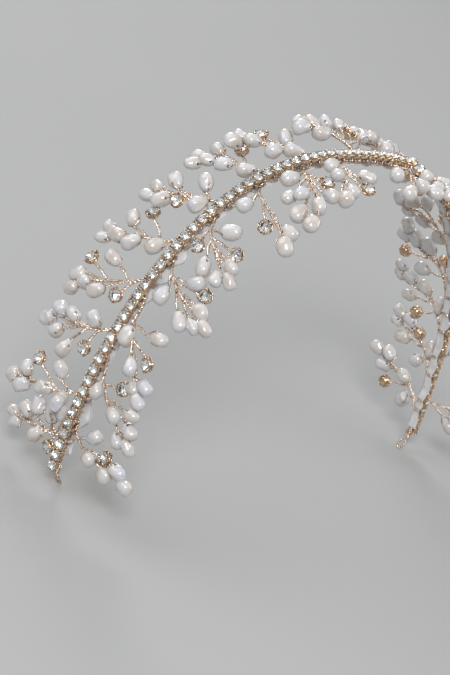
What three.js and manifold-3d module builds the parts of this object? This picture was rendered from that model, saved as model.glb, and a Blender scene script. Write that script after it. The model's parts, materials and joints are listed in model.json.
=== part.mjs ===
// A bridal hair-vine tiara: a cup chain of rhinestones on a wire arch, with pearl and crystal
// sprigs bound on alternately towards the front (-Y) and the back (+Y).
// Millimetres, +Z up. The arch stands in the XZ plane as it is worn from ear to ear, and its two
// ends are near Z = 0. The origin is the middle of the space that the head fills.
import * as THREE from "three";
import { mergeVertices } from "three/addons/utils/BufferGeometryUtils.js";
import Module from "manifold-3d";

const wasm = await Module();
wasm.setup();

// Driving dimensions
const HALF_WIDTH = 73; // arch, to the middle of the chain's stones
const RISE = 99;
const SQUARENESS = 2.4; // superellipse exponent: 2 is an ellipse
const ARCH_PIECES = 32; // straight pieces in the core wire and the ribbon
const HEAD_RADIUS = 85; // front to back curve that the sprigs follow
const STONES = 85;
const PITCH = 3.15; // from stone to stone along the chain
const CUP = { length: 2.5, tableLength: 1.7, width: 2.9, bottom: -1.2, top: 1.0 };
const LINK_TOP = -0.8;
const CORE = { size: 0.9, lift: -2.1 };
const RIBBON = { width: 2.8, thickness: 0.2, lift: -2.86, firstStone: 0.5, lastStone: 83.5 };
const END_LOOP = { length: 5.2, width: 2.8, hole: 1.2, thickness: 0.9, neck: 0.8, at: 5.5, lean: 37 };
const WRAP = { width: 3.8, low: -3.4, high: -0.2, bar: 0.3, along: 0.4 };
const STEM = { size: 0.7, side: 1.85, lift: -1.95, levelAt: 7, curl: 6, mostLean: 60, steps: 6 };
const TWIG_SIZE = 0.55;
const FORKS = { first: 0.22, last: 0.92, nearest: 0.7 }; // shares of the stem, and of a bead's reach
const PEARL = { diameter: 3.9, length: 5.4 };
const TIP_PEARL = { diameter: 3.1, length: 3.9 };
const CRYSTAL = { radius: 2.0, low: -1.6, girdle: 0.3, table: 1.2, top: 1.0 };
const DROP = { diameter: 3.7, length: 5.6, hole: 1.0, holeBelowTop: 1.45, yokeGap: 1.4 };
const YOKE = { half: 1.95, shoulder: 1.0, apex: 0.1, bar: 0.35, thickness: 0.35 };
const RISE_REACH = 25; // where a sprig's rise off the head is measured
const CORNER = 0.6; // a three-cornered wire's corners, as a share of its size
const FACETED = 1.08; // a low-polygon bead is drawn this much larger, to keep its volume
const TIDY = 0.03; // slivers left by a join that are thinner than this are merged away

// What grows on the vine. Each bead is [kind, angle, reach, lift]: the angle in degrees from the
// straight way off the chain, positive towards the left end, the distance from the chain, and how
// far it is raised off its neighbours. rise is how far a bead at RISE_REACH stands off the head.
const SPRIGS = {
  frontA: {
    rise: 1,
    beads: [["drop", -18, 11.5, 1], ["drop", 6, 12.7, 2.6], ["crystal", -1, 15.5], ["tip", 13, 17.5],
      ["tip", 3, 20.5], ["tip", 8, 24]],
  },
  frontB: {
    rise: 1,
    beads: [["drop", 35, 7.8, 2.4], ["drop", 25.5, 16, 2.8], ["pearl", 14, 19.2, 1.5], ["crystal", 4, 11.5],
      ["tip", 25, 21], ["tip", 37, 21], ["tip", 32, 24]],
  },
  frontC: {
    rise: 1,
    beads: [["pearl", 61, 9.5], ["drop", 17, 14], ["drop", 47, 18, 2.6], ["crystal", 38, 18],
      ["tip", 51, 23], ["tip", 43, 23.5], ["tip", 49, 26.5]],
  },
  frontD: {
    rise: 1,
    beads: [["pearl", 48, 10], ["pearl", 0, 12.5], ["pearl", 33, 18.5], ["crystal", 4, 17],
      ["tip", 15, 19.5], ["tip", 25, 21.5], ["tip", 19, 23.5]],
  },
  frontE: {
    rise: 1,
    beads: [["crystal", 57, 9.5], ["crystal", 14, 16], ["pearl", 0, 9.5], ["pearl", 46, 16],
      ["tip", 36, 20], ["tip", 23, 18.5], ["tip", 28, 22]],
  },
  frontF: {
    rise: 1,
    beads: [["pearl", 53, 9.5], ["crystal", 31, 17.5], ["tip", 16, 21.5], ["tip", 23, 25]],
  },
  frontG: {
    rise: 1,
    beads: [["pearl", 56, 10.5], ["pearl", 50, 18], ["pearl", 40, 18, 1.5], ["pearl", 42, 23.5],
      ["crystal", 6, 12], ["tip", 28, 21], ["tip", 35, 27], ["tip", 14, 17.5]],
  },
  frontH: {
    rise: 1,
    beads: [["pearl", 50, 9], ["pearl", 41, 15.5, 1], ["tip", 30, 20.5], ["tip", 36, 24.5],
      ["pearl", 4, 13.5], ["crystal", 14, 18.5]],
  },
  frontI: {
    rise: 1,
    beads: [["pearl", 39, 16], ["crystal", 20, 11], ["pearl", 13, 17], ["tip", 3, 19.5], ["tip", 32, 24.5]],
  },
  backA: {
    rise: 2,
    beads: [["pearl", 24, 10], ["tip", 11, 21.5], ["tip", 18, 19.5], ["tip", 2, 16], ["pearl", -13, 12.4],
      ["tip", -57, 6.5], ["tip", -62, 10, 0.5], ["tip", -66, 8.8, 2.5], ["tip", -30, 7],
      ["crystal", 52, 6.2]],
  },
  backB: {
    rise: 4,
    beads: [["pearl", -15, 9.5], ["pearl", 21, 12.5], ["tip", 17, 26], ["tip", 10, 21], ["tip", 22, 21.5],
      ["crystal", -3, 18]],
  },
  backC: {
    rise: 2.5,
    beads: [["pearl", 4, 7.5], ["pearl", 12, 15], ["pearl", 45, 16.5], ["tip", 12, 20.5], ["tip", 20, 24.5],
      ["tip", 28, 20], ["crystal", 56, 10]],
  },
  backD: {
    rise: 2,
    beads: [["crystal", 12, 21.5], ["pearl", 5, 14], ["pearl", 40, 16], ["tip", 25, 24], ["tip", 31, 20.5],
      ["tip", 34, 25], ["crystal", 56, 10]],
  },
  backE: {
    rise: 2,
    beads: [["pearl", 8, 17.5], ["pearl", 33, 14.5], ["pearl", 46, 7.2], ["crystal", -7, 13.5],
      ["tip", 27, 24.5], ["tip", 20, 23.5], ["tip", 25, 20]],
  },
  backF: {
    rise: 2,
    beads: [["pearl", 13, 16.5], ["pearl", -4, 8.5], ["pearl", 52, 7.2], ["tip", 30, 22.5], ["tip", 22, 21],
      ["tip", 35, 18], ["crystal", 38, 13]],
  },
  backG: {
    rise: 2,
    beads: [["tip", 36, 21.5], ["tip", 27, 21.5], ["tip", 31, 18], ["pearl", 15, 17.5], ["pearl", 37, 13],
      ["pearl", 50, 6.8], ["crystal", -3, 13.5, -1]],
  },
  backH: {
    rise: 2.5,
    beads: [["tip", 37, 21], ["tip", 51, 22.5, 1.5], ["tip", 50, 17.5, 1.5], ["crystal", 24, 17],
      ["pearl", 60, 12], ["pearl", 12, 11], ["pearl", 55, 6.8]],
  },
  backI: {
    rise: 6,
    beads: [["tip", 54, 20], ["tip", 68, 21], ["tip", 46, 17], ["pearl", 15, 15], ["pearl", -2, 13.5],
      ["pearl", 68, 15], ["crystal", -12, 10.5], ["tip", -32, 9], ["tip", -48, 11]],
  },
};

// Where each sprig is bound on: after stone 3, for example, is 3.5. They all lean the same way.
const FRONT = [
  [3.5, "frontA"], [9.5, "frontB"], [15.5, "frontC"], [19.5, "frontD"], [24.5, "frontE"],
  [29.5, "frontF"], [34.5, "frontG"], [38.5, "frontH"], [45.5, "frontI"], [50.5, "frontE"],
  [54.5, "frontD"], [60.5, "frontB"], [66.5, "frontC"], [70.5, "frontD"], [75.5, "frontE"],
  [80.5, "frontA"],
];
const BACK = [
  [2.5, "backA"], [6.5, "backB"], [12.5, "backC"], [17.5, "backD"], [21.5, "backE"],
  [26.5, "backF"], [31.5, "backG"], [36.5, "backH"], [42.5, "backI"], [48.5, "backF"],
  [53.5, "backD"], [57.5, "backE"], [63.5, "backC"], [68.5, "backD"], [72.5, "backE"],
  [77.5, "backF"], [81.5, "backB"],
];

// Finishes
const metal = (color, roughness) => new THREE.MeshStandardMaterial({ color, roughness, metalness: 1 });
const WIRE = metal(0xd9a98a, 0.3);
const CHAIN = metal(0xc9a56b, 0.3);
const NACRE = new THREE.MeshStandardMaterial({ color: 0xe9e4da, roughness: 0.25, metalness: 0 });
const SHEER = new THREE.MeshStandardMaterial({ color: 0xf2efe9, roughness: 0.8, metalness: 0 });

// The arch: an evenly walked superellipse, measured from its left end at stone level.
const WALK_STEPS = 1440;
const walk = [];
for (let i = 0, length = 0; i <= WALK_STEPS; i++) {
  const a = (Math.PI * i) / WALK_STEPS;
  const power = (v) => Math.sign(v) * Math.abs(v) ** (2 / SQUARENESS);
  const point = new THREE.Vector3(-HALF_WIDTH * power(Math.cos(a)), 0, RISE * power(Math.sin(a)));
  if (i) length += point.distanceTo(walk[i - 1].point);
  walk.push({ length, point });
}
const ARCH_LENGTH = walk[WALK_STEPS].length;
const FIRST_STONE = (ARCH_LENGTH - (STONES - 1) * PITCH) / 2;

function archPoint(s) {
  const at = Math.min(Math.max(s, 0), ARCH_LENGTH);
  const i = Math.max(1, walk.findIndex((w) => w.length >= at));
  const [a, b] = [walk[i - 1], walk[i]];
  return a.point.clone().lerp(b.point, (at - a.length) / (b.length - a.length));
}

// Axes at a place on the arch: along it to the right, towards the back, and outwards.
function axesAt(s) {
  const along = archPoint(s + 1).sub(archPoint(s - 1)).normalize();
  return { along, back: new THREE.Vector3(0, 1, 0), out: new THREE.Vector3(-along.z, 0, along.x) };
}

const stoneAt = (stone) => FIRST_STONE + stone * PITCH;

// A point over the head: across is towards the back, and lift is outwards from stone level.
function overHead(s, across, lift) {
  const { out } = axesAt(s);
  const drop = across ** 2 / (2 * HEAD_RADIUS);
  const point = archPoint(s).addScaledVector(out, lift - drop);
  point.y = across * (1 - across ** 2 / (6 * HEAD_RADIUS ** 2));
  return point;
}

// A closed geometry as a manifold-3d solid.
function solid(geometry, matrix = new THREE.Matrix4()) {
  const bare = geometry.clone().applyMatrix4(matrix);
  bare.deleteAttribute("normal");
  bare.deleteAttribute("uv");
  const merged = mergeVertices(bare, 1e-4);
  const vertProperties = merged.attributes.position.array;
  const triVerts = new Uint32Array(merged.index.array);
  return new wasm.Manifold(new wasm.Mesh({ numProp: 3, vertProperties, triVerts }));
}

function meshOf(made, name, material) {
  const { vertProperties, triVerts } = made.getMesh();
  const geometry = new THREE.BufferGeometry();
  geometry.setAttribute("position", new THREE.BufferAttribute(vertProperties, 3));
  geometry.setIndex(new THREE.BufferAttribute(triVerts, 1));
  const mesh = new THREE.Mesh(geometry, material);
  mesh.name = name;
  return mesh;
}

const joined = (solids) => solids.reduce((all, next) => all.add(next)).asOriginal().simplify(TIDY);

// A matrix that puts a shape's x, y and z along three directions at a point.
const placed = (x, y, z, at) => new THREE.Matrix4().makeBasis(x, y, z).setPosition(at);

// A matrix that turns a shape's y along a direction.
function pointed(direction, at) {
  const turn = new THREE.Quaternion().setFromUnitVectors(new THREE.Vector3(0, 1, 0), direction);
  return new THREE.Matrix4().compose(at, turn, new THREE.Vector3(1, 1, 1));
}

function rectangle(width, height) {
  const [x, y] = [width / 2, height / 2];
  return new THREE.Shape([[-x, -y], [x, -y], [x, y], [-x, y]].map(([a, b]) => new THREE.Vector2(a, b)));
}

// A wire of triangular section along a curve.
function wire(curve, size, steps) {
  const r = size * CORNER;
  const corners = [0, 1, 2].map((k) => (k * 2 * Math.PI) / 3);
  const section = new THREE.Shape(corners.map((a) => new THREE.Vector2(r * Math.cos(a), r * Math.sin(a))));
  return solid(new THREE.ExtrudeGeometry(section, { steps, bevelEnabled: false, extrudePath: curve }));
}

const twig = (from, to) => wire(new THREE.LineCurve3(from, to), TWIG_SIZE, 1);

// A strip that follows the arch between two places, given the side outline's lifts.
function strip(outer, inner, width) {
  const outline = [...outer, ...inner.reverse()].map(([s, lift]) => {
    const p = archPoint(s).addScaledVector(axesAt(s).out, lift);
    return new THREE.Vector2(p.x, p.z);
  });
  const shape = new THREE.Shape(outline);
  const geometry = new THREE.ExtrudeGeometry(shape, { depth: width, bevelEnabled: false });
  const upright = new THREE.Matrix4().makeRotationX(Math.PI / 2).setPosition(0, width / 2, 0);
  return solid(geometry, upright);
}

const stations = (from, to, count) =>
  Array.from({ length: count + 1 }, (_, i) => from + ((to - from) * i) / count);

function band(from, to, lift, thickness, width) {
  const places = stations(from, to, ARCH_PIECES);
  const side = (offset) => places.map((s) => [s, lift + offset]);
  return strip(side(thickness / 2), side(-thickness / 2), width);
}

// The cup chain: square cups, each wider at its foot than at its stone's table, on one strip.
function cupChain() {
  const outer = [];
  const inner = [];
  for (let i = 0; i < STONES; i++) {
    const s = stoneAt(i);
    const [foot, table] = [CUP.length / 2, CUP.tableLength / 2];
    outer.push([s - foot, LINK_TOP], [s - table, CUP.top], [s + table, CUP.top], [s + foot, LINK_TOP]);
    inner.push([s - foot, CUP.bottom]);
  }
  inner.push([stoneAt(STONES - 1) + CUP.length / 2, CUP.bottom]);
  return strip(outer, inner, CUP.width);
}

// The core wire, bent back at each end into a flat loop for a ribbon or a hairpin. The loops lean in
// towards the head, about the ends of the straight wire.
function coreWire() {
  const ends = [END_LOOP.at, ARCH_LENGTH - END_LOOP.at];
  const lean = THREE.MathUtils.degToRad(END_LOOP.lean);
  const core = band(ends[0], ends[1], CORE.lift, CORE.size, CORE.size);
  const loops = ends.map((s, i) => {
    const outwards = i ? 1 : -1;
    const { along, back, out } = axesAt(s);
    const turn = (v) => v.applyAxisAngle(back, outwards * lean);
    const tip = turn(along.clone()).multiplyScalar(outwards);
    const face = turn(out.clone());
    const half = END_LOOP.width / 2;
    const straight = END_LOOP.length / 2 - half;
    const stadium = (r, Kind) => {
      const path = new Kind();
      path.absarc(straight, 0, r, -Math.PI / 2, Math.PI / 2);
      path.absarc(-straight, 0, r, Math.PI / 2, (3 * Math.PI) / 2);
      return path;
    };
    const shape = stadium(half, THREE.Shape);
    shape.holes.push(stadium(END_LOOP.hole / 2, THREE.Path));
    const options = { depth: END_LOOP.thickness, bevelEnabled: false, curveSegments: 3 };
    const centre = archPoint(s)
      .addScaledVector(out, CORE.lift)
      .addScaledVector(face, -END_LOOP.thickness / 2)
      .addScaledVector(tip, END_LOOP.length / 2 - END_LOOP.neck);
    const x = tip.clone().multiplyScalar(-outwards);
    return solid(new THREE.ExtrudeGeometry(shape, options), placed(x, back.clone().negate(), face, centre));
  });
  return joined([core, ...loops]);
}

// Polar places around a sprig's binding, in the surface of the head.
function sprigPlace(base, side, rise, angle, reach, lift = 0) {
  const a = THREE.MathUtils.degToRad(angle);
  const level = Math.min(1, reach / STEM.levelAt);
  const height = STEM.lift * (1 - level ** 2) + (rise * reach) / RISE_REACH + lift;
  return overHead(base - reach * Math.sin(a), side * reach * Math.cos(a), height);
}

function ellipsoid(size, direction, at) {
  const radius = (FACETED * size.diameter) / 2;
  const shape = new THREE.IcosahedronGeometry(1, 0);
  shape.scale(radius, (FACETED * size.length) / 2, radius);
  return solid(shape, pointed(direction, at));
}

// A rhinestone in its claw cup, its table facing away from the head.
function crystal(out, at) {
  const profile = [[0, CRYSTAL.low], [CRYSTAL.radius, CRYSTAL.girdle], [CRYSTAL.table, CRYSTAL.top],
    [0, CRYSTAL.top]].map(([r, h]) => new THREE.Vector2(r, h));
  return solid(new THREE.LatheGeometry(profile, 5), pointed(out, at));
}

// The wraps that hold a sprig: a square loop round the chain's link and the core wire.
function wraps(base) {
  const { along, back, out } = axesAt(base);
  const height = WRAP.high - WRAP.low;
  const shape = rectangle(WRAP.width, height);
  shape.holes.push(rectangle(WRAP.width - 2 * WRAP.bar, height - 2 * WRAP.bar));
  const frame = new THREE.ExtrudeGeometry(shape, { depth: WRAP.along, bevelEnabled: false });
  const at = archPoint(base)
    .addScaledVector(out, (WRAP.high + WRAP.low) / 2)
    .addScaledVector(along, -WRAP.along / 2);
  return solid(frame, placed(back, out, along, at));
}

// A drop pearl hangs by a cross hole near its top on a yoke, so it rocks about the hole.
const holeOf = (direction, at) => at.clone().addScaledVector(direction, DROP.holeBelowTop - DROP.length / 2);

function dropPearl(direction, pin, out, at) {
  const [radius, half] = [DROP.diameter / 2, DROP.length / 2];
  const profile = [[0, -1], [0.68, -0.68], [1, 0.14], [0.65, 0.79], [0, 1]];
  const outline = profile.map(([r, h]) => new THREE.Vector2(r * radius, h * half));
  const body = solid(new THREE.LatheGeometry(outline, 6), pointed(direction, at));
  const bore = new THREE.BoxGeometry(2 * DROP.diameter, DROP.hole, DROP.hole);
  return body.subtract(solid(bore, placed(pin, direction, out, holeOf(direction, at))));
}

function yoke(direction, pin, out, at) {
  const outline = (grow) => {
    const [half, top] = [YOKE.half + grow, DROP.holeBelowTop + DROP.yokeGap + grow];
    const points = [[-half, -grow], [half, -grow], [half, YOKE.shoulder], [grow + YOKE.apex, top],
      [-grow - YOKE.apex, top], [-half, YOKE.shoulder]];
    return points.map(([x, y]) => new THREE.Vector2(x, y));
  };
  const shape = new THREE.Shape(outline(YOKE.bar / 2));
  shape.holes.push(new THREE.Path(outline(-YOKE.bar / 2)));
  const plate = new THREE.ExtrudeGeometry(shape, { depth: YOKE.thickness, bevelEnabled: false });
  const hole = holeOf(direction, at).addScaledVector(out, YOKE.thickness / 2);
  return solid(plate, placed(pin, direction.clone().negate(), out.clone().negate(), hole));
}

// One sprig with its drop pearls: the stem lies along the core wire, passes the wraps and fans
// out into twigs.
function sprig(name, side, gap, recipe) {
  const { rise, beads } = SPRIGS[recipe];
  const base = stoneAt(gap);
  const place = (angle, reach, lift) => sprigPlace(base, side, rise, angle, reach, lift);
  const tips = beads.filter(([kind, angle]) => kind === "tip" && angle > 0);
  const mean = (k) => tips.reduce((sum, bead) => sum + bead[k], 0) / tips.length;
  const [lean, length] = [mean(1), mean(2) - TIP_PEARL.diameter / 2];
  const onStem = (reach) => place(Math.min(lean + STEM.curl * (1 - reach / length), STEM.mostLean), reach);
  const bends = [0.25, 0.5, 0.75, 1].map((share) => onStem(share * length));
  const stem = new THREE.CatmullRomCurve3([overHead(base, side * STEM.side, STEM.lift), ...bends]);
  const parts = [wraps(base), wire(stem, STEM.size, STEM.steps)];
  const drops = [];
  const nearestFirst = beads.toSorted((a, b) => a[2] - b[2]);
  for (const [i, [kind, angle, reach, lift]] of nearestFirst.entries()) {
    const at = place(angle, reach, lift);
    const evenly = THREE.MathUtils.lerp(FORKS.first, FORKS.last, i / (beads.length - 1));
    const fork = stem.getPoint(Math.min(evenly, (FORKS.nearest * reach) / length));
    const direction = at.clone().sub(fork).normalize();
    const out = axesAt(base - reach * Math.sin(THREE.MathUtils.degToRad(angle))).out;
    if (kind === "drop") {
      const pin = new THREE.Vector3().crossVectors(direction, out).normalize();
      const flat = new THREE.Vector3().crossVectors(pin, direction);
      const apex = DROP.length / 2 + DROP.yokeGap;
      parts.push(twig(fork, at.clone().addScaledVector(direction, -apex)));
      parts.push(yoke(direction, pin, flat, at));
      const hinge = { point: holeOf(direction, at), axis: pin };
      drops.push({ made: dropPearl(direction, pin, flat, at), hinge });
    } else {
      parts.push(twig(fork, at));
      if (kind === "crystal") parts.push(crystal(out, at));
      else parts.push(ellipsoid(kind === "tip" ? TIP_PEARL : PEARL, direction, at));
    }
  }
  const meshes = [meshOf(joined(parts), name, WIRE)];
  drops.forEach(({ made, hinge }, i) => {
    const pearl = meshOf(made, `${name}_drop_pearl_${i + 1}`, NACRE);
    pearl.userData.hinge = hinge; // it rocks about the wire through its cross hole
    meshes.push(pearl);
  });
  return meshes;
}

const tiara = new THREE.Group();
tiara.add(meshOf(coreWire(), "core_wire", WIRE));
tiara.add(meshOf(cupChain(), "cup_chain", CHAIN));
const { firstStone, lastStone, lift, thickness, width } = RIBBON;
const backing = band(stoneAt(firstStone), stoneAt(lastStone), lift, thickness, width);
tiara.add(meshOf(backing, "backing_ribbon", SHEER));
for (const [label, side, row] of [["front", -1, FRONT], ["back", 1, BACK]]) {
  row.forEach(([gap, recipe], i) => {
    const number = String(i + 1).padStart(2, "0");
    tiara.add(...sprig(`${label}_sprig_${number}`, side, gap, recipe));
  });
}

export default tiara;
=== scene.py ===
"""Looks of a bridal hair-vine tiara: a rhinestone cup chain on a wire arch with wired pearl sprigs.

Lengths are in millimetres until a mesh is made. An angle, reach or lift in the recipes means what
it does in the CAD source, so every bead and binding sits where its CAD solid is.
"""

import json
import math
import operator
import random

import bmesh
import bpy
import numpy as np
from mathutils import Matrix, Vector

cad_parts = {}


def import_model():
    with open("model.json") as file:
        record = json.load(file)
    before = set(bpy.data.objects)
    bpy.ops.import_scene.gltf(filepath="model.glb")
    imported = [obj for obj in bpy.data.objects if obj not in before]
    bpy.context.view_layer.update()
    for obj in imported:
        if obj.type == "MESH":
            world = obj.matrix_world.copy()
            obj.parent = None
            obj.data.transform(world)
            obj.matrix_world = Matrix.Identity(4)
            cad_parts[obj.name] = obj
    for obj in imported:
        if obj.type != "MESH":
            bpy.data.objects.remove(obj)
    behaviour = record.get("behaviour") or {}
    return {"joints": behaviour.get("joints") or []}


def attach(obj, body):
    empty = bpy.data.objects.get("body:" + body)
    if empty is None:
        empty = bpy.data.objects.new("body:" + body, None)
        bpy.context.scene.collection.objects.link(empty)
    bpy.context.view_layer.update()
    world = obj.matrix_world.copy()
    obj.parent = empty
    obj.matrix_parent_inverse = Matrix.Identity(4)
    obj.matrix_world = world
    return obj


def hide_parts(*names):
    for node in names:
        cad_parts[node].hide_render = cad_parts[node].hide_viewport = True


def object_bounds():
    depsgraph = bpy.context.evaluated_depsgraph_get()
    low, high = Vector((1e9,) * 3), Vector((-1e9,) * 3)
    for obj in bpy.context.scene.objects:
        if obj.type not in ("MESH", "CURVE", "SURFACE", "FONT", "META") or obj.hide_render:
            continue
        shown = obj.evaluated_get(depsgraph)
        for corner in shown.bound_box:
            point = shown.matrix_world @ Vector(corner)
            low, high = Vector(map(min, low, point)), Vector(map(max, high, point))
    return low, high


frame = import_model()
JOINT_OF = {j["child"]: j for j in frame["joints"]}
CAD_BOX = [[float(x) for x in corner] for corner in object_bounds()]

MM = 0.001
TAU = 2 * math.pi

# The arch, the chain and the stems, as in the CAD source
HALF_WIDTH = 73.0
RISE = 99.0
SQUARENESS = 2.4
HEAD_RADIUS = 85.0
STONES = 85
PITCH = 3.15
CORE_LIFT = -2.1
LOOP_START, LOOP_LEAN = 5.5, math.radians(37)
STEM_SIDE, STEM_LIFT, STEM_LEVEL_AT, STEM_CURL, MOST_LEAN = 1.85, -1.95, 7.0, 6.0, 60.0
FORK_FIRST, FORK_LAST, FORK_NEAREST = 0.22, 0.92, 0.7
RISE_REACH = 25.0
TIP_DIAMETER_IN_CAD = 3.1
DROP_LENGTH, DROP_DIAMETER, DROP_HOLE_BELOW_TIP = 5.6, 3.7, 1.45
ROCK = math.radians(20)

# Wire
STRAND = 0.215
TWIST_PITCH = 2.2
TWIST_STEP = 0.26
TWIG_STRAND, TWIG_PITCHES, TWIG_BOW = STRAND * 0.92, (0.85, 1.1), (-0.03, 0.08)
STEM_STRAND, STEM_PITCH = STRAND * 1.05, TWIST_PITCH * 1.1
WRAP_WIRE = 0.15
FORK_LOWER = 0.72  # twigs lie along the stem before they part from it, so they fork below the CAD's fork
YOKE_WIRE, YOKE_SLACK, YOKE_REACH = 0.15, 0.28, 1.25
LEG_WIRE, LEG_SLACK, LEG_REACH = 0.14, 0.16, 0.45

# Beads
PEARL_DIAMETER, PEARL_LENGTH = 4.0, 5.6
TIP_DIAMETER, TIP_LENGTH = 4.2, 5.2
GROWN = (0.93, 1.09)
SMALLEST_PEARL, LONGEST_PEARL = 3.5, 1.4  # a diameter, and a length in diameters
PEARL_SWAY, TIP_SWAY = 0.18, 0.3
HOLE_BELOW_TIP = 1.1
MOUTH = 0.34
NEIGHBOUR = 6.0  # a bead this near to a drop pearl turns, or turns and shrinks, to give it room
NARROWED, SHORTENED = 0.94, 1.1  # such a pearl's share of its diameter, and its greatest length in diameters
SWEPT_END, SWEPT_GIRTH, SWEPT_GAP = 1.15, 1.12, 0.62  # a drop pearl's room, as shares of its size, and a gap

RIBBON_WIDTH = 10.0

# What grows on the vine: each sprig's rise off the head, and its beads as kind, angle, reach and lift
SPRIGS = {
    "frontA": (1, [("drop", -18, 11.5, 1), ("drop", 6, 12.7, 2.6), ("crystal", -1, 15.5),
                   ("tip", 13, 17.5), ("tip", 3, 20.5), ("tip", 8, 24)]),
    "frontB": (1, [("drop", 35, 7.8, 2.4), ("drop", 25.5, 16, 2.8), ("pearl", 14, 19.2, 1.5),
                   ("crystal", 4, 11.5), ("tip", 25, 21), ("tip", 37, 21), ("tip", 32, 24)]),
    "frontC": (1, [("pearl", 61, 9.5), ("drop", 17, 14), ("drop", 47, 18, 2.6), ("crystal", 38, 18),
                   ("tip", 51, 23), ("tip", 43, 23.5), ("tip", 49, 26.5)]),
    "frontD": (1, [("pearl", 48, 10), ("pearl", 0, 12.5), ("pearl", 33, 18.5), ("crystal", 4, 17),
                   ("tip", 15, 19.5), ("tip", 25, 21.5), ("tip", 19, 23.5)]),
    "frontE": (1, [("crystal", 57, 9.5), ("crystal", 14, 16), ("pearl", 0, 9.5), ("pearl", 46, 16),
                   ("tip", 36, 20), ("tip", 23, 18.5), ("tip", 28, 22)]),
    "frontF": (1, [("pearl", 53, 9.5), ("crystal", 31, 17.5), ("tip", 16, 21.5), ("tip", 23, 25)]),
    "frontG": (1, [("pearl", 56, 10.5), ("pearl", 50, 18), ("pearl", 40, 18, 1.5), ("pearl", 42, 23.5),
                   ("crystal", 6, 12), ("tip", 28, 21), ("tip", 35, 27), ("tip", 14, 17.5)]),
    "frontH": (1, [("pearl", 50, 9), ("pearl", 41, 15.5, 1), ("tip", 30, 20.5), ("tip", 36, 24.5),
                   ("pearl", 4, 13.5), ("crystal", 14, 18.5)]),
    "frontI": (1, [("pearl", 39, 16), ("crystal", 20, 11), ("pearl", 13, 17), ("tip", 3, 19.5),
                   ("tip", 32, 24.5)]),
    "backA": (2, [("pearl", 24, 10), ("tip", 11, 21.5), ("tip", 18, 19.5), ("tip", 2, 16),
                  ("pearl", -13, 12.4), ("tip", -57, 6.5), ("tip", -62, 10, 0.5),
                  ("tip", -66, 8.8, 2.5), ("tip", -30, 7), ("crystal", 52, 6.2)]),
    "backB": (4, [("pearl", -15, 9.5), ("pearl", 21, 12.5), ("tip", 17, 26), ("tip", 10, 21),
                  ("tip", 22, 21.5), ("crystal", -3, 18)]),
    "backC": (2.5, [("pearl", 4, 7.5), ("pearl", 12, 15), ("pearl", 45, 16.5), ("tip", 12, 20.5),
                    ("tip", 20, 24.5), ("tip", 28, 20), ("crystal", 56, 10)]),
    "backD": (2, [("crystal", 12, 21.5), ("pearl", 5, 14), ("pearl", 40, 16), ("tip", 25, 24),
                  ("tip", 31, 20.5), ("tip", 34, 25), ("crystal", 56, 10)]),
    "backE": (2, [("pearl", 8, 17.5), ("pearl", 33, 14.5), ("pearl", 46, 7.2), ("crystal", -7, 13.5),
                  ("tip", 27, 24.5), ("tip", 20, 23.5), ("tip", 25, 20)]),
    "backF": (2, [("pearl", 13, 16.5), ("pearl", -4, 8.5), ("pearl", 52, 7.2), ("tip", 30, 22.5),
                  ("tip", 22, 21), ("tip", 35, 18), ("crystal", 38, 13)]),
    "backG": (2, [("tip", 36, 21.5), ("tip", 27, 21.5), ("tip", 31, 18), ("pearl", 15, 17.5),
                  ("pearl", 37, 13), ("pearl", 50, 6.8), ("crystal", -3, 13.5, -1)]),
    "backH": (2.5, [("tip", 37, 21), ("tip", 51, 22.5, 1.5), ("tip", 50, 17.5, 1.5),
                    ("crystal", 24, 17), ("pearl", 60, 12), ("pearl", 12, 11), ("pearl", 55, 6.8)]),
    "backI": (6, [("tip", 54, 20), ("tip", 68, 21), ("tip", 46, 17), ("pearl", 15, 15),
                  ("pearl", -2, 13.5), ("pearl", 68, 15), ("crystal", -12, 10.5), ("tip", -32, 9),
                  ("tip", -48, 11)]),
}
# Where each sprig is bound on, after stone 3 being 3.5, and its recipe's letter
FRONT = [(3.5, "A"), (9.5, "B"), (15.5, "C"), (19.5, "D"), (24.5, "E"), (29.5, "F"), (34.5, "G"),
         (38.5, "H"), (45.5, "I"), (50.5, "E"), (54.5, "D"), (60.5, "B"), (66.5, "C"), (70.5, "D"),
         (75.5, "E"), (80.5, "A")]
BACK = [(2.5, "A"), (6.5, "B"), (12.5, "C"), (17.5, "D"), (21.5, "E"), (26.5, "F"), (31.5, "G"),
        (36.5, "H"), (42.5, "I"), (48.5, "F"), (53.5, "D"), (57.5, "E"), (63.5, "C"), (68.5, "D"),
        (72.5, "E"), (77.5, "F"), (81.5, "B")]


# ---------------------------------------------------------------- vectors and paths
def unit(v):
    return v / np.linalg.norm(v)


def across_of(v, like):
    """The part of like that is square to v, as a unit vector."""
    return unit(like - v * float(like @ v))


def lengths_along(path):
    """The length of the path up to each of its places."""
    return np.concatenate([[0], np.cumsum(np.linalg.norm(np.diff(path, axis=0), axis=1))])


def powered(v, power):
    """v to a power, with its sign kept: it squares a circle's sines and cosines off."""
    return np.sign(v) * np.abs(v) ** power


def catmull_rom(a, b, c, d, t):
    """The curve from b to c at t, with a before and d after."""
    square = 2 * a - 5 * b + 4 * c - d
    cube = 3 * b - a - 3 * c + d
    return 0.5 * (2 * b + (c - a) * t + square * t**2 + cube * t**3)


def spline(points, step, closed=False):
    """A smooth path through the points, with places about step apart."""
    p = np.asarray(points, float)
    ends = (p[-1:], p[:2]) if closed else (2 * p[:1] - p[1:2], 2 * p[-1:] - p[-2:-1])
    q = np.concatenate([ends[0], p, ends[1]])
    t = np.linspace(0, 1, 12, endpoint=False)[:, None]
    dense = [catmull_rom(a, b, c, d, t) for a, b, c, d in zip(q[:-3], q[1:-2], q[2:-1], q[3:])]
    dense = np.concatenate(dense + [p[:1] if closed else q[-2:-1]])
    return spaced(dense, step)


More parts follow.
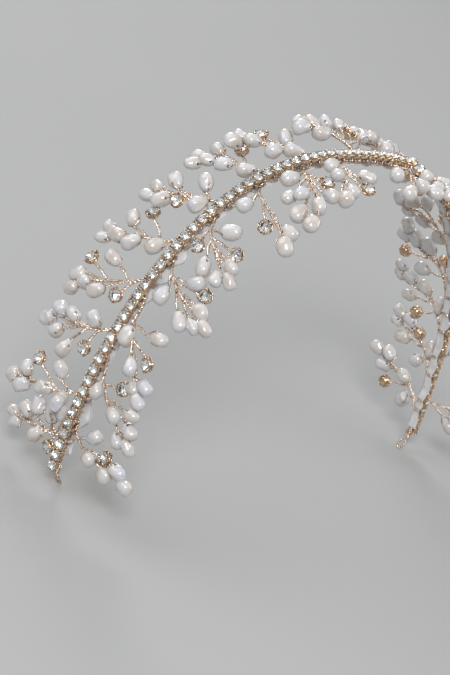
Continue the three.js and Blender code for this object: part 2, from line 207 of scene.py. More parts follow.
def spaced(path, step):
    """The same path with its places evenly spaced, about step apart."""
    length = lengths_along(path)
    at = np.linspace(0, length[-1], max(3, math.ceil(length[-1] / step) + 1))
    return np.stack([np.interp(at, length, path[:, k]) for k in range(3)], 1)


def transported(path):
    """A normal and a binormal at each place on a path, turned as little as the path allows."""
    t = np.gradient(path, axis=0)
    t /= np.linalg.norm(t, axis=1)[:, None]
    n = np.zeros_like(t)
    n[0] = across_of(t[0], np.eye(3)[int(np.argmin(np.abs(t[0])))])
    for i in range(1, len(t)):
        n[i] = across_of(t[i], n[i - 1])
    return n, np.cross(t, n)


# ---------------------------------------------------------------- the arch
def walk(steps=1440):
    """Places along the arch from end to end, and the length up to each."""
    a = np.pi * np.arange(steps + 1) / steps
    x = -HALF_WIDTH * powered(np.cos(a), 2 / SQUARENESS)
    z = RISE * powered(np.maximum(np.sin(a), 0), 2 / SQUARENESS)
    places = np.stack([x, z], 1)
    return lengths_along(places), places


WALK_LENGTH, WALK_POINT = walk()
ARCH_LENGTH = float(WALK_LENGTH[-1])
FIRST_STONE = (ARCH_LENGTH - (STONES - 1) * PITCH) / 2


def arch_point(s):
    """The middle of the chain's stones, at a length along the arch."""
    x, z = (float(np.interp(s, WALK_LENGTH, WALK_POINT[:, k])) for k in (0, 1))
    return np.array([x, 0.0, z])


def axes_at(s):
    """Along the arch, towards the back, and outwards."""
    along = unit(arch_point(s + 1) - arch_point(s - 1))
    return along, np.array([0.0, 1.0, 0.0]), np.array([-along[2], 0.0, along[0]])


def stone_at(i):
    """How far along the arch a stone is."""
    return FIRST_STONE + i * PITCH


def on_arch(s, across, lift):
    """A point beside the arch, with no head curve."""
    _, back, out = axes_at(s)
    return arch_point(s) + back * across + out * lift


def over_head(s, across, lift):
    """A point beside the arch, on a surface that curves down to the front and back as a head does."""
    point = on_arch(s, 0, lift - across**2 / (2 * HEAD_RADIUS))
    point[1] = across * (1 - across**2 / (6 * HEAD_RADIUS**2))
    return point


# ---------------------------------------------------------------- mesh building
class Build:
    """Collects closed shells in millimetres and makes them one piece."""

    def __init__(self):
        self.points, self.faces, self.slots, self.smooth, self.count = [], [], [], [], 0

    def add(self, points, faces, slot=0, smooth=True):
        """One more shell, in the material of that slot."""
        self.points.append(np.asarray(points, float).reshape(-1, 3))
        self.faces += [tuple(i + self.count for i in f) for f in faces]
        self.slots += [slot] * len(faces)
        self.smooth += [smooth] * len(faces)
        self.count += len(self.points[-1])

    def make(self, name, materials, slot, body, node):
        """The piece, on a body, in place of a CAD node."""
        mesh = bpy.data.meshes.new(name)
        mesh.from_pydata((np.concatenate(self.points) * MM).tolist(), [], self.faces)
        for m in materials:
            mesh.materials.append(m)
        mesh.polygons.foreach_set("material_index", self.slots)
        mesh.polygons.foreach_set("use_smooth", self.smooth)
        bm = bmesh.new()
        bm.from_mesh(mesh)
        bmesh.ops.recalc_face_normals(bm, faces=bm.faces)
        bm.to_mesh(mesh)
        bm.free()
        obj = bpy.data.objects.new(name, mesh)
        bpy.context.scene.collection.objects.link(obj)
        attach(obj, body)
        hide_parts(node)
        return obj


def skin(rings, around, closed=False):
    """Quads between successive rings of points. closed joins the last ring to the first."""
    faces = []
    for i in range(rings if closed else rings - 1):
        j = (i + 1) % rings
        for m in range(around):
            n = (m + 1) % around
            faces.append((i * around + m, i * around + n, j * around + n, j * around + m))
    return faces


def caps(rings, around):
    """The two end faces of an open skin."""
    last = (rings - 1) * around
    return [tuple(range(around))[::-1], tuple(last + m for m in range(around))]


def tube(build, path, radius, sides=6, closed=False):
    """A round bar along a path. radius may be one number or one for each place."""
    if closed:
        path = path[:-1]
        around = np.concatenate([path[-2:], path, path[:2]])
        n, b = (v[2:-2] for v in transported(around))
    else:
        n, b = transported(path)
    a = np.arange(sides) * TAU / sides
    r = np.broadcast_to(np.asarray(radius, float), (len(path),))[:, None, None]
    off = np.cos(a)[None, :, None] * n[:, None] + np.sin(a)[None, :, None] * b[:, None]
    rings = path[:, None] + r * off
    faces = skin(len(path), sides, closed)
    if not closed:
        faces += caps(len(path), sides)
    build.add(rings.reshape(-1, 3), faces)


def twisted(build, path, strand, pitch, phase=0.0):
    """Two strands of wire twisted round each other along a path."""
    n, b = transported(path)
    turn = phase + lengths_along(path) * TAU / pitch
    for opposite in (0, math.pi):
        a = (turn + opposite)[:, None]
        tube(build, path + strand * (np.cos(a) * n + np.sin(a) * b), strand)


def circle(sides, squareness=1.0):
    """A round outline of radius 1, or one that is nearer to a square."""
    a = np.arange(sides) * TAU / sides
    return np.stack([powered(np.cos(a), squareness), powered(np.sin(a), squareness)], 1)


def lathe(build, profile, outline, basis, at):
    """A closed body along basis's third axis: the outline at each (scale, height) of the profile."""
    points = [at + (r * outline) @ basis[:2] + h * basis[2] for r, h in profile]
    faces = skin(len(profile), len(outline)) + caps(len(profile), len(outline))
    build.add(np.concatenate(points), faces)


GLASS_SLOT, FOIL_SLOT = 1, 2  # a stone's materials, after the metal of its cup


def gem(build, radius, crown, depth, basis, at):
    """A round brilliant: table, star, kite and girdle facets above, and a foiled pavilion below."""
    def ring(count, shift, r, z):
        a = (np.arange(count) + shift) * TAU / count
        return np.stack([r * np.cos(a), r * np.sin(a), np.full(count, z)], 1)

    girdle = 0.05 * radius
    rings = [
        ring(8, 0, 0.55 * radius, crown),
        ring(8, 0.5, 0.79 * radius, 0.52 * crown),
        ring(16, 0, radius, girdle),
        ring(16, 0, radius, -girdle),
        ring(8, 0.5, 0.42 * radius, -0.6 * depth),
        np.array([[0, 0, -depth]]),
    ]
    t, s, u, w, p, c = np.cumsum([0] + [len(r) for r in rings])[:6]
    top, low = [tuple(range(t, t + 8))], []
    for k in range(8):
        n, m = (k + 1) % 8, (k - 1) % 8
        a, b, d = 2 * k, 2 * k + 1, (2 * k + 2) % 16
        top += [(t + k, s + k, t + n), (t + k, s + m, u + a, s + k)]
        top += [(s + k, u + a, u + b), (s + k, u + b, u + d)]
        top += [(u + a, w + a, w + b, u + b), (u + b, w + b, w + d, u + d)]
        low += [(c, p + m, w + a, p + k), (p + k, w + a, w + b), (p + k, w + b, w + d)]
    points = at + np.concatenate(rings) @ basis
    build.add(points, top + low, GLASS_SLOT, False)
    build.slots[-len(low) :] = [FOIL_SLOT] * len(low)


def turned(basis, angle):
    """The basis, turned about its third axis."""
    c, s = math.cos(angle), math.sin(angle)
    return np.stack([c * basis[0] + s * basis[1], c * basis[1] - s * basis[0], basis[2]])


# ---------------------------------------------------------------- pearls
PEARL_RINGS, PEARL_SEGMENTS = 20, 36
LUMPS, LUMP_HEIGHT, LUMP_FREQUENCY = 5, (0.014, 0.052), 2.5
RING_HEIGHTS = [0.0, 0.014, 0.024]  # some pearls have faint rings round them
# How a kind differs from an ellipsoid: wider away from the hole, fuller ends, flatter, and bent
PEARL_KINDS = {
    "drop": (0.2, 0.1, 1.0, 0.0),
    "rice": (0.06, 0.32, 0.95, 0.14),
    "potato": (0.1, 0.22, 0.94, 0.08),
    "button": (0.04, 0.24, 0.9, 0.08),
}


def pearl(build, at, direction, pin, diameter, length, rng, kind, below=HOLE_BELOW_TIP):
    """A baroque pearl with its drill hole. Its rings run round the hole, so the hole is real.

    Returns the places of the hole's two mouths.
    """
    hole = min(below, 0.4 * length)
    shift = 1 - 2 * hole / length
    first = MOUTH / (diameter / 2) / math.sqrt(1 - shift**2)
    theta = np.linspace(first, math.pi - first, PEARL_RINGS)[:, None]
    phi = np.arange(PEARL_SEGMENTS)[None] * TAU / PEARL_SEGMENTS
    x, y, z = np.cos(theta) + 0 * phi, np.sin(theta) * np.cos(phi), np.sin(theta) * np.sin(phi)
    scale = 1 / (1 - shift * y)
    x, z = (v * math.sqrt(1 - shift**2) * scale for v in (x, z))
    y = (y - shift) * scale
    u = np.stack([x, y, z], -1)
    taper, full, flat, bend = PEARL_KINDS[kind]
    girth = 1 + taper * y + full * y**2 * (1 - 0.3 * y)
    swells = 0
    for _ in range(LUMPS):
        height = rng.uniform(*LUMP_HEIGHT)
        towards = np.array([rng.gauss(0, LUMP_FREQUENCY) for _ in range(3)])
        swells = swells + height * np.sin(u @ towards + rng.uniform(0, TAU))
    rings = rng.choice(RING_HEIGHTS)
    lumps = 1 + swells + rings * np.sin(y * rng.uniform(7, 11) + rng.uniform(0, TAU))
    lx = x * girth * lumps * diameter / 2
    ly = y * length / 2 * (1 + 0.4 * (lumps - 1))
    lz = z * girth * lumps * flat * diameter / 2
    lz = lz + bend * rng.choice([-1, 1]) * (y**2 - shift**2) * diameter / 2
    third = np.cross(pin, direction)
    grid = at + lx[..., None] * pin + ly[..., None] * direction + lz[..., None] * third
    tunnel = [grid[-1] + (grid[0] - grid[-1]) * f for f in (0.05, 0.95)]
    grid = np.concatenate([grid, np.stack(tunnel)])
    build.add(grid.reshape(-1, 3), skin(len(grid), PEARL_SEGMENTS, closed=True))
    return [grid[0].mean(0), grid[PEARL_RINGS - 1].mean(0)]


def legs(build, apex, mouths, direction, wire, slack):
    """The twig's two strands part, reach round the pearl's top and meet in its drill hole."""
    def knee(p, outwards):
        return p + (apex - p) * 0.45 + outwards * 0.32

    a, b = mouths
    pin = unit(a - b)
    wide_a, wide_b = a + pin * slack, b - pin * slack
    inside = [a - pin * 0.25, (a + b) / 2, b + pin * 0.25]
    start = [apex - direction * 0.5, apex]
    points = [*start, knee(wide_a, pin), wide_a, *inside, wide_b, knee(wide_b, -pin), *start[::-1]]
    tube(build, spline(points, 0.22), wire)


# ---------------------------------------------------------------- claw-set crystals
CLAWS = 6
CRYSTAL_CUP = [(0.75, -1.55), (1.1, -1.5), (1.55, -0.95), (1.6, -0.7), (1.95, -0.1), (2.02, 0.22),
               (1.86, 0.24), (1.72, -0.2), (1.2, -0.75), (0.5, -1.3)]
CRYSTAL_CLAW = [(1.78, -0.6), (2.0, 0.0), (1.98, 0.42), (1.72, 0.66), (1.4, 0.76)]
CLAW_RADII = (0.24, 0.15)
CRYSTAL_STONE, CRYSTAL_LIFT = (1.84, 0.75, 1.2), 0.22  # its radius, crown height and depth
CRYSTAL_RING, CRYSTAL_RING_WIRE = (1.68, -0.85), 0.14


def crystal(wires, stones, at, out, direction, rng):
    """A round brilliant in its claw cup, with a ring of wire round the cup."""
    def beside(a, radius, height):
        return at + (math.cos(a) * basis[0] + math.sin(a) * basis[1]) * radius + out * height

    side = across_of(out, direction)
    basis = turned(np.stack([side, np.cross(out, side), out]), rng.uniform(0, TAU))
    lathe(stones, CRYSTAL_CUP, circle(24), basis, at)
    for k in range(CLAWS):
        claw = spline([beside(k * TAU / CLAWS, r, h) for r, h in CRYSTAL_CLAW], 0.25)
        tube(stones, claw, np.linspace(*CLAW_RADII, len(claw)))
    facing = turned(basis, rng.uniform(0, 1))
    gem(stones, *CRYSTAL_STONE, facing, at + out * CRYSTAL_LIFT)
    ring = [beside(a, *CRYSTAL_RING) for a in np.arange(12) * TAU / 12]
    tube(wires, spline(ring, 0.4, closed=True), CRYSTAL_RING_WIRE, 5, closed=True)


# ---------------------------------------------------------------- sprigs
def stem_curve(points):
    """A function that gives the place at a share of the way along a smooth curve."""
    p = np.asarray(points, float)
    q = np.concatenate([2 * p[:1] - p[1:2], p, 2 * p[-1:] - p[-2:-1]])

    def at(t):
        i = min(int(t * (len(p) - 1)), len(p) - 2)
        f = t * (len(p) - 1) - i
        return catmull_rom(*q[i : i + 4], f)

    return at


BINDING_TURNS = 3
BINDING_HALF_LENGTH, BINDING_HALF_LENGTH_ON_TOP = 0.75, 0.17


def squared_turn(a, power):
    """The cosine and sine of a turn that is nearer to a square than to a circle."""
    return (math.copysign(abs(f) ** power, f) for f in (math.cos(a), math.sin(a)))


def binding(build, base, rng):
    """Turns of wire over the link between two cups and under the core wire."""
    points = []
    for i in range(BINDING_TURNS * 10 + 1):
        a = i / 10 * TAU
        way = 2 * i / (BINDING_TURNS * 10) - 1
        top = (1 + math.sin(a)) / 2
        spread = BINDING_HALF_LENGTH + (BINDING_HALF_LENGTH_ON_TOP - BINDING_HALF_LENGTH) * top
        s = base + way * spread + rng.uniform(-0.03, 0.03)
        c, d = squared_turn(a, 0.6)
        points.append(on_arch(s, 1.5 * c, -1.6 + d * 1.62 + 0.2 * (1 - abs(way)) * top))
    tube(build, spline(points, 0.3), WRAP_WIRE)


def pearl_kind(kind, rng):
    """A shape for a tip pearl, which is stubby, or for a pearl nearer to the chain."""
    if kind == "tip":
        return rng.choice(["rice", "potato", "button", "potato"])
    return rng.choice(["drop", "rice", "potato", "drop"])


def clear_of(path, drops):
    """A wire's path, pushed out of the room in which each drop pearl rocks about its pin."""
    path = np.array(path, float)
    for hinge, direction, pin in drops:
        for i, p in enumerate(path):
            down = float((p - hinge) @ direction)
            aside = p - hinge - direction * down
            far = np.linalg.norm(aside)
            span = 2 * (down + DROP_HOLE_BELOW_TIP) / DROP_LENGTH - 1
            if abs(span) > SWEPT_END or far < 1e-6:
                continue
            girth = SWEPT_GIRTH * DROP_DIAMETER / 2 * math.sqrt(1 - (span / SWEPT_END) ** 2)
            square_to_pin = math.sqrt(max(0.0, 1 - float(aside @ pin / far) ** 2))
            swing = math.tan(ROCK) * abs(down) * square_to_pin
            path[i] += aside / far * max(0.0, girth + swing + SWEPT_GAP - far)
    return path


REACH_OF = operator.itemgetter(2)
STEM_STEP = 0.02  # to each side, to find which way the stem goes
CRYSTAL_LEAN, LEAN_FROM_DROP = 0.35, 0.4
CUP_BACK, CUP_SIDE = 0.9, 1.7


def hung_pearls(name, beads, ats):
    """The node of each of the sprig's drop pearls, with its pin's place, its direction and its axis."""
    hung = {}
    for bead, at in zip(beads, ats):
        if bead[0] == "drop":
            node = f"{name}_drop_pearl_{len(hung) + 1}"
            joint = JOINT_OF[node]
            hinge = np.array(joint["pos_m"]) / MM
            hung[bead] = node, (hinge, unit(at - hinge), np.array(joint["axis"]))
    return hung


def drop_pearl(wires, at, node, direction, pin, rng):
    """A pearl that rocks on its yoke, as a piece of its own. Returns where the yoke's twig ends."""
    own = Build()
    mouths = pearl(own, at, direction, pin, DROP_DIAMETER, DROP_LENGTH, rng, "drop", DROP_HOLE_BELOW_TIP)
    own.make(node + "_nacre", [NACRE], "pearl", node, node)
    neck = at - direction * (DROP_LENGTH / 2 + YOKE_REACH)
    legs(wires, neck, mouths, direction, YOKE_WIRE, YOKE_SLACK)
    return neck


def tilted_crystal(wires, stones, at, out, direction, beside, rng):
    """A crystal that faces out and a little along its twig. Returns where its twig ends."""
    wander = np.array([rng.uniform(-0.2, 0.2) for _ in range(3)])
    if beside is None:
        tilt = unit(out + CRYSTAL_LEAN * direction + wander)
    else:
        tilt = unit(out + LEAN_FROM_DROP * across_of(out, beside) + 0.2 * wander)
    crystal(wires, stones, at, tilt, direction, rng)
    return at - tilt * CUP_BACK - across_of(tilt, direction) * CUP_SIDE


def wired_pearl(wires, pearls, kind, at, nearest, out, direction, beside, rng):
    """A pearl that is tight in its wire. Returns where its twig ends, and its direction."""
    tip = kind == "tip"
    diameter, length = (TIP_DIAMETER, TIP_LENGTH) if tip else (PEARL_DIAMETER, PEARL_LENGTH)
    grown = rng.uniform(*GROWN)
    diameter = min(diameter * grown, max(nearest, SMALLEST_PEARL))
    length = min(length * grown, LONGEST_PEARL * diameter)
    aside = np.array([rng.gauss(0, 1) for _ in range(3)])
    direction = unit(direction + (TIP_SWAY if tip else PEARL_SWAY) * across_of(direction, aside))
    towards = out * rng.uniform(-1, 1) + np.cross(direction, out) * rng.choice([-1, 1])
    pin = across_of(direction, towards)
    if beside is not None:
        pin = unit(np.cross(direction, beside))
        diameter, length = NARROWED * diameter, min(length, SHORTENED * diameter)
    shape = pearl_kind(kind, rng)
    mouths = pearl(pearls, at, direction, pin, diameter, length, rng, shape)
    neck = at - direction * (length / 2 + LEG_REACH)
    legs(wires, neck, mouths, direction, LEG_WIRE, LEG_SLACK)
    return neck, direction


def sprig(name, side, gap, recipe):
    """A twisted stem bound on at a gap between two stones, with its twigs and beads."""
    rise, beads = SPRIGS[recipe]
    base = stone_at(gap)
    rng = random.Random(name)

    def place(angle, reach, lift=0.0):
        a = math.radians(angle)
        level = min(1, reach / STEM_LEVEL_AT)
        height = STEM_LIFT * (1 - level**2) + rise * reach / RISE_REACH + lift
        return over_head(base - reach * math.sin(a), side * reach * math.cos(a), height)

    def hung_beside(bead, at):
        """The way to a drop pearl that is this bead's neighbour."""
        for other, place_of_other in zip(beads, ats):
            if other in hung and other is not bead:
                if np.linalg.norm(place_of_other - at) < NEIGHBOUR:
                    return place_of_other - at
        return None

    tips = [b for b in beads if b[0] == "tip" and b[1] > 0]
    lean = sum(b[1] for b in tips) / len(tips)
    length = sum(b[2] for b in tips) / len(tips) - TIP_DIAMETER_IN_CAD / 2
    bends = [place(min(lean + STEM_CURL * (1 - f), MOST_LEAN), f * length) for f in (0.25, 0.5, 0.75, 1)]
    stem = stem_curve([over_head(base, side * STEM_SIDE, STEM_LIFT), *bends])
    wires, pearls, stones = Build(), Build(), Build()
    binding(wires, base, rng)

    beads = sorted(beads, key=REACH_OF)
    ats = [place(*b[1:]) for b in beads]
    hung = hung_pearls(name, beads, ats)
    last = 0.0
    for i, (bead, at) in enumerate(zip(beads, ats)):
        kind, angle, reach = bead[:3]
        t = FORK_FIRST + (FORK_LAST - FORK_FIRST) * i / (len(beads) - 1)
        t = min(t, FORK_NEAREST * reach / length)
        last = max(last, t)
        low = t * FORK_LOWER
        fork = stem(low)
        ahead = unit(stem(min(low + STEM_STEP, 1)) - stem(max(low - STEM_STEP, 0)))
        out = axes_at(base - reach * math.sin(math.radians(angle)))[2]
        direction = unit(at - stem(t))
        beside = hung_beside(bead, at)
        if kind == "drop":
            node, (_, direction, pin) = hung[bead]
            neck = drop_pearl(wires, at, node, direction, pin, rng)
            arrive = direction
        elif kind == "crystal":
            neck = tilted_crystal(wires, stones, at, out, direction, beside, rng)
            arrive = unit(neck - fork)
        else:
            nearest = min(np.linalg.norm(at - other) for other in ats if other is not at)
            neck, direction = wired_pearl(wires, pearls, kind, at, nearest, out, direction, beside, rng)
            arrive = direction
        way = neck - fork
        span = np.linalg.norm(way)
        bow = across_of(direction, out) * rng.uniform(*TWIG_BOW) * span
        leave = fork + ahead * 0.1 * span + way * 0.1
        end = [neck - arrive * 0.1 * span, neck]
        twig = spline([fork - ahead * 0.35, leave, fork + way * 0.55 + bow, *end], TWIST_STEP)
        twig = clear_of(twig, [swept for other, (_, swept) in hung.items() if other is not bead])
        pitch = TWIST_PITCH * rng.uniform(*TWIG_PITCHES)
        twisted(wires, twig, TWIG_STRAND, pitch, rng.uniform(0, TAU))

    tail = [on_arch(base + 2.8, side * 0.9, CORE_LIFT), on_arch(base + 1.3, side * 1.0, CORE_LIFT + 0.1)]
    inner = spline([*tail, stem(0.0)], 0.3)[:-1]
    outer = np.array([stem(f) for f in np.linspace(0, last, 60)])
    full = spaced(np.concatenate([inner, outer]), TWIST_STEP)
    full = clear_of(full, [swept for _, swept in hung.values()])
    twisted(wires, full, STEM_STRAND, STEM_PITCH, rng.uniform(0, TAU))

    wires.make(name + "_wire", [WIRE], "wire", "vine", name)
    pearls.make(name + "_pearls", [NACRE], "pearl", "vine", name)
    stones.make(name + "_crystals", [CLAW, GLASS, FOIL], "crystal", "vine", name)


# ---------------------------------------------------------------- chain, core and ribbon
CUP_OUTLINE = circle(20, 0.55) * [1.38, 1.36]
CUP_PROFILE = [(0.7, -1.2), (0.88, -1.12), (0.97, -0.4), (1.0, 0.05), (0.9, 0.09), (0.84, -0.35),
               (0.5, -0.75)]
CUP_PRONG = [(1.2, 1.22, -0.3), (1.22, 1.22, 0.25), (1.12, 1.1, 0.6), (0.84, 0.86, 0.76)]
PRONG_RADII = (0.27, 0.2)
CUP_STONE, CUP_STONE_LIFT = (1.4, 0.55, 0.85), 0.42
LINK_HALF_LENGTH, LINK_APART, LINK_RADIUS, LINK_LIFT = 0.7, 0.35, 0.2, -0.98


def cup_chain():
    """Round stones in square cups, each held by four prongs, with two bars from cup to cup."""
    build = Build()
    rng = random.Random("cup chain")
    for i in range(STONES):
        s = stone_at(i)
        along, back, out = axes_at(s)
        at = arch_point(s)
        basis = np.stack([along, back, out])
        lathe(build, CUP_PROFILE, CUP_OUTLINE, basis, at)
        for x in (-1, 1):
            for y in (-1, 1):
                prong = [at + along * x * p + back * y * q + out * h for p, q, h in CUP_PRONG]
                path = spline(prong, 0.22)
                tube(build, path, np.linspace(*PRONG_RADII, len(path)))
        gem(build, *CUP_STONE, turned(basis, rng.uniform(0, 0.8)), at + out * CUP_STONE_LIFT)
        if i + 1 < STONES:
            middle = s + PITCH / 2
            ends = (-LINK_HALF_LENGTH, 0, LINK_HALF_LENGTH)
            path = np.array([on_arch(middle + d, 0, LINK_LIFT) for d in ends])
            for y in (-LINK_APART, LINK_APART):
                tube(build, path + back * y, LINK_RADIUS)
    build.make("cup_chain_stones", [GILT, GLASS, FOIL], "gilt_chain", "vine", "cup_chain")


CORE_RADIUS = 0.36
COIL_PITCH, COIL_RADIUS, COIL_WIRE = 1.15, 0.5, 0.14
LACING_WIRE = 0.13
LOOP_SIDE = [(0, 0.42), (1.2, 0.82), (2.6, 0.92), (3.8, 0.55)]
LOOP_TIP = (4.1, 0.0)
LOOP_STRAND, LOOP_TWIST_PITCH = 0.18, 1.6
WRAP_TURNS, WRAP_LENGTH = 5, 2.0


def end_loop(build, end, outwards):
    """A twisted loop that leans in from the end of the core wire, with wraps over its neck."""
    along, back, out = axes_at(end)
    tip = along * outwards * math.cos(LOOP_LEAN) - out * math.sin(LOOP_LEAN)
    pivot = on_arch(end, 0, CORE_LIFT)
    neck = [on_arch(end - outwards * 3.5, y, CORE_LIFT) for y in (0.35, -0.35)]
    loop = [pivot + tip * x + back * y for x, y in [*LOOP_SIDE, LOOP_TIP]]
    loop += [pivot + tip * x - back * y for x, y in LOOP_SIDE[::-1]]
    twisted(build, spline([neck[0], *loop, neck[1]], 0.25), LOOP_STRAND, LOOP_TWIST_PITCH)
    wraps = []
    for i in range(WRAP_TURNS * 10 + 1):
        a = i / 10 * TAU
        s = end - outwards * (0.2 + i / 50 * WRAP_LENGTH)
        wraps.append(on_arch(s, 0.95 * math.cos(a), CORE_LIFT + 0.75 * math.sin(a)))
    tube(build, spline(wraps, 0.25), 0.16)


def core_wire():
    """The wire that carries all, a fine wire coiled on it, one laced round the cups, and the end loops."""
    build = Build()
    first, last = LOOP_START, ARCH_LENGTH - LOOP_START
    core = np.array([on_arch(s, 0, CORE_LIFT) for s in np.linspace(first, last, 260)])
    tube(build, core, CORE_RADIUS, 8)
    turns = int((last - first) / COIL_PITCH)
    coil = []
    for i in range(turns * 10 + 1):
        a = i / 10 * TAU
        s = first + (last - first) * i / (turns * 10)
        coil.append(on_arch(s, COIL_RADIUS * math.cos(a), CORE_LIFT + COIL_RADIUS * math.sin(a)))
    tube(build, np.array(coil), COIL_WIRE, 5)
    lacing = []
    for i in range((STONES - 2) * 12 + 1):
        c, d = squared_turn(i / 12 * TAU, 0.7)
        lacing.append(on_arch(stone_at(0.5 + i / 12), 1.46 * d, -1.68 + 1.06 * c))
    tube(build, spline(lacing, 0.3), LACING_WIRE, 5)
    end_loop(build, first, -1)
    end_loop(build, last, 1)
    build.make("core_wire_wound", [WIRE], "wire", "vine", "core_wire")


LOOSE_STRETCHES = [(5.4, 1.6), (19.2, 3.2)]  # the stone in the middle, and the spread in stones
RIBBON_FIRST, RIBBON_LAST = 1.4, 83.5  # in stones
RIBBON_LIFT, LAYER_GAP = -2.95, 0.11
PINCHED_HALF_WIDTH = 1.2
BULGE_WIDENS, BULGE_MOVES, BULGE_RISES = 1.5, -1.9, 0.7
TAIL_HALF_WIDTH, TAIL_WIDENS, TAIL_MOVES, TAIL_RISES = 0.25, 1.1, -2.3, 0.8
ALONG_STEPS, ACROSS_STEPS = 420, 12


def ribbon_swell(s, rng):
    """How far the ribbon bulges out here: little, but for two loose stretches near the left end."""
    wide = max(math.exp(-(((s - stone_at(at)) / (spread * PITCH)) ** 2)) for at, spread in LOOSE_STRETCHES)
    return max(wide, rng.uniform(0.1, 0.4))


def ribbon():
    """A sheer ribbon folded in three under the core wire. Each binding pinches it, and it bulges between."""
    s0, s1 = stone_at(RIBBON_FIRST), stone_at(RIBBON_LAST)
    bound = np.array(sorted(stone_at(gap) for gap, _ in FRONT + BACK))
    rng = random.Random("ribbon")
    middles = (np.append(s0, bound) + np.append(bound, s1)) / 2
    swell = [ribbon_swell(s, rng) for s in middles]
    points, weave = [], []
    for i in range(ALONG_STEPS + 1):
        s = s0 + (s1 - s0) * i / ALONG_STEPS
        k = int(np.searchsorted(bound, s))
        before = bound[k - 1] if k else s0 - 5
        after = bound[k] if k < len(bound) else s1 + 4
        bulge = math.sin(math.pi * (s - before) / (after - before)) ** 1.3
        half = PINCHED_HALF_WIDTH + BULGE_WIDENS * bulge * swell[k]
        shift = BULGE_MOVES * bulge * swell[k]
        lower = RIBBON_LIFT + BULGE_RISES * bulge * swell[k]
        if k == 0:  # the pointed tail
            half = TAIL_HALF_WIDTH + TAIL_WIDENS * (s - s0) / (after - s0)
            shift = TAIL_MOVES * (after - s) / (after - s0)
            lower = RIBBON_LIFT + TAIL_RISES * (after - s) / (after - s0)
        for j in range(ACROSS_STEPS + 1):
            g = j / ACROSS_STEPS * 3
            layer = min(int(g), 2)
            y = half * (2 * (g - layer) - 1) * (1, -1, 1)[layer]
            curl = 0.12 * bulge * math.sin(3 * (g - layer) + s * 0.9 + layer * 2)
            points.append(on_arch(s, y + shift, lower + LAYER_GAP * (layer - 1) + curl))
            weave.append((s - s0, j / ACROSS_STEPS * RIBBON_WIDTH))
    n = ACROSS_STEPS + 1
    faces = []
    for i in range(ALONG_STEPS):
        for j in range(ACROSS_STEPS):
            k = i * n + j
            faces.append((k, k + 1, k + n + 1, k + n))
    build = Build()
    build.add(points, faces)
    obj = build.make("backing_ribbon_sheer", [SHEER], "ribbon", "vine", "backing_ribbon")
    uv = obj.data.uv_layers.new(name="weave")
    for loop in obj.data.loops:
        uv.data[loop.index].uv = weave[loop.vertex_index]


# ---------------------------------------------------------------- materials
class Nodes:
    """A material's node tree, with short calls to grow it."""

    def __init__(self, name, **values):
        self.material = bpy.data.materials.new(name)
        self.material.use_nodes = True
        self.tree = self.material.node_tree
        self.shader = self.tree.nodes["Principled BSDF"]
        for key, value in values.items():
            socket = key.replace("_", " ").title().replace("Ior", "IOR")
            self.shader.inputs[socket].default_value = value

    def node(self, kind, **settings):
        made = self.tree.nodes.new(kind)
        for key, value in settings.items():
            setattr(made, key, value)
        return made

    def link(self, a, b):
        self.tree.links.new(a, b)

    def noise(self, scale, detail):
        place = self.node("ShaderNodeTexCoord")
        made = self.node("ShaderNodeTexNoise")
        made.inputs["Scale"].default_value = scale
        made.inputs["Detail"].default_value = detail
        self.link(place.outputs["Object"], made.inputs["Vector"])
        return made.outputs["Fac"]

    def ramp(self, value, *stops):
        made = self.node("ShaderNodeValToRGB")
        points = made.color_ramp.elements
        while len(points) < len(stops):
            points.new(0.5)
        for point, (position, color) in zip(points, stops):
            point.position, point.color = position, (*color, 1)
        self.link(value, made.inputs["Fac"])
        return made.outputs["Color"]

    def range(self, value, low, high):
        """A number from low to high, as the value goes over the middle of its range."""
        made = self.node("ShaderNodeMapRange")
        made.inputs["From Min"].default_value, made.inputs["From Max"].default_value = 0.3, 0.7
        made.inputs["To Min"].default_value, made.inputs["To Max"].default_value = low, high
        self.link(value, made.inputs["Value"])
        return made.outputs["Result"]

    def bump(self, value, distance, strength):
        made = self.node("ShaderNodeBump")
        made.inputs["Distance"].default_value = distance
        made.inputs["Strength"].default_value = strength
        self.link(value, made.inputs["Height"])
        self.link(made.outputs["Normal"], self.shader.inputs["Normal"])

    def drive(self, output, name):
        self.link(output, self.shader.inputs[name])


def metal(name, bright, dark, roughness):
    m = Nodes(name, metallic=1.0)
    m.drive(m.ramp(m.noise(900, 4), (0.38, dark), (0.62, bright)), "Base Color")
    m.drive(m.range(m.noise(2600, 3), *roughness), "Roughness")
    m.bump(m.noise(5200, 2), 0.00002, 0.5)
    return m.material


def nacre():
    m = Nodes(
        "nacre",
        subsurface_weight=0.06,
        subsurface_scale=0.0012,
        coat_weight=1.0,
        coat_roughness=0.04,
        coat_ior=1.62,
        ior=1.5,
    )
    m.shader.inputs["Subsurface Radius"].default_value = (1.0, 0.85, 0.75)
    rosy, white, bluish = (0.47, 0.405, 0.36), (0.54, 0.52, 0.50), (0.51, 0.51, 0.56)
    m.drive(m.ramp(m.noise(240, 4), (0.32, rosy), (0.5, white), (0.68, bluish)), "Base Color")
    m.drive(m.range(m.noise(700, 3), 0.22, 0.36), "Roughness")
    m.bump(m.noise(1100, 5), 0.00006, 0.5)
    return m.material


def glass():
    m = Nodes("crystal", transmission_weight=1.0, ior=1.54, roughness=0.0)
    m.drive(m.ramp(m.noise(160, 1), (0.4, (0.97, 1.0, 0.99)), (0.6, (1.0, 1.0, 1.0))), "Base Color")
    return m.material


def foil():
    m = Nodes("foil", metallic=1.0)
    m.drive(m.ramp(m.noise(300, 1), (0.4, (0.92, 0.93, 0.93)), (0.6, (0.98, 0.98, 0.98))), "Base Color")
    m.drive(m.range(m.noise(2000, 2), 0.02, 0.09), "Roughness")
    return m.material


